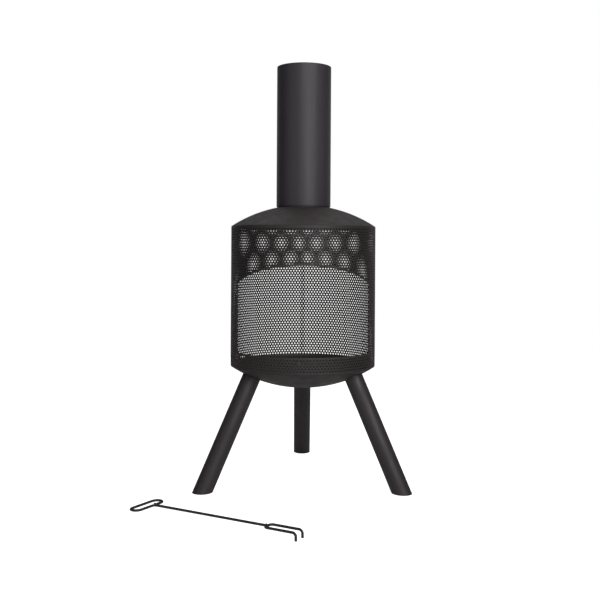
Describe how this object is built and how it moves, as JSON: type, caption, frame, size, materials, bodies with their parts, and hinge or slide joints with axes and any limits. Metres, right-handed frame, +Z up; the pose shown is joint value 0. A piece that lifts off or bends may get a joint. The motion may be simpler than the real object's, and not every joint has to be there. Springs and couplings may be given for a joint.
{
  "type": "chiminea",
  "caption": "Black steel chiminea: perforated drum with an arched front opening between a pressed dome and bowl, straight chimney pipe, splayed tube legs, and a loose poker.",
  "frame": {"origin": "on the ground under the drum's axis, at the centre of the circle through the three feet", "axes": "+Z up along the drum and the chimney; the fire opening faces -Y; +X is to the right as seen from the front"},
  "size_m": [0.6821, 0.8234, 1.1],
  "materials": {
    "mesh_paint": "matte heat-resistant black paint",
    "body_paint": "matte heat-resistant black paint",
    "pipe_paint": "satin heat-resistant black paint",
    "leg_paint": "satin heat-resistant black paint",
    "poker_paint": "satin black paint",
    "fastener_steel": "dark zinc-plated",
    "plug_plastic": "moulded black"
  },
  "bodies": {
    "frame": {"drum_sheet": "mesh_paint", "opening_trim": "mesh_paint", "top_dome": "body_paint", "chimney_collar": "body_paint", "bottom_bowl": "body_paint", "leg_front_left": "leg_paint", "leg_front_right": "leg_paint", "leg_rear": "leg_paint", "leg_plate_front_left": "leg_paint", "leg_plate_front_right": "leg_paint", "leg_plate_rear": "leg_paint", "foot_plug_front_left": "plug_plastic", "foot_plug_front_right": "plug_plastic", "foot_plug_rear": "plug_plastic", "leg_bolts": "fastener_steel", "leg_washers": "fastener_steel", "leg_weld_nuts": "fastener_steel"},
    "chimney": {"chimney_pipe": "pipe_paint"},
    "poker": {"poker_rod": "poker_paint", "poker_fork": "poker_paint"}
  },
  "joints": [
    {"name": "chimney_lift", "type": "slide", "parent": "frame", "child": "chimney", "axis": [0, 0, 1], "range_m": [0, 0.06]},
    {"name": "poker_lift", "type": "slide", "parent": "frame", "child": "poker", "axis": [0, 0, 1], "range_m": [0, 0.4]}
  ]
}
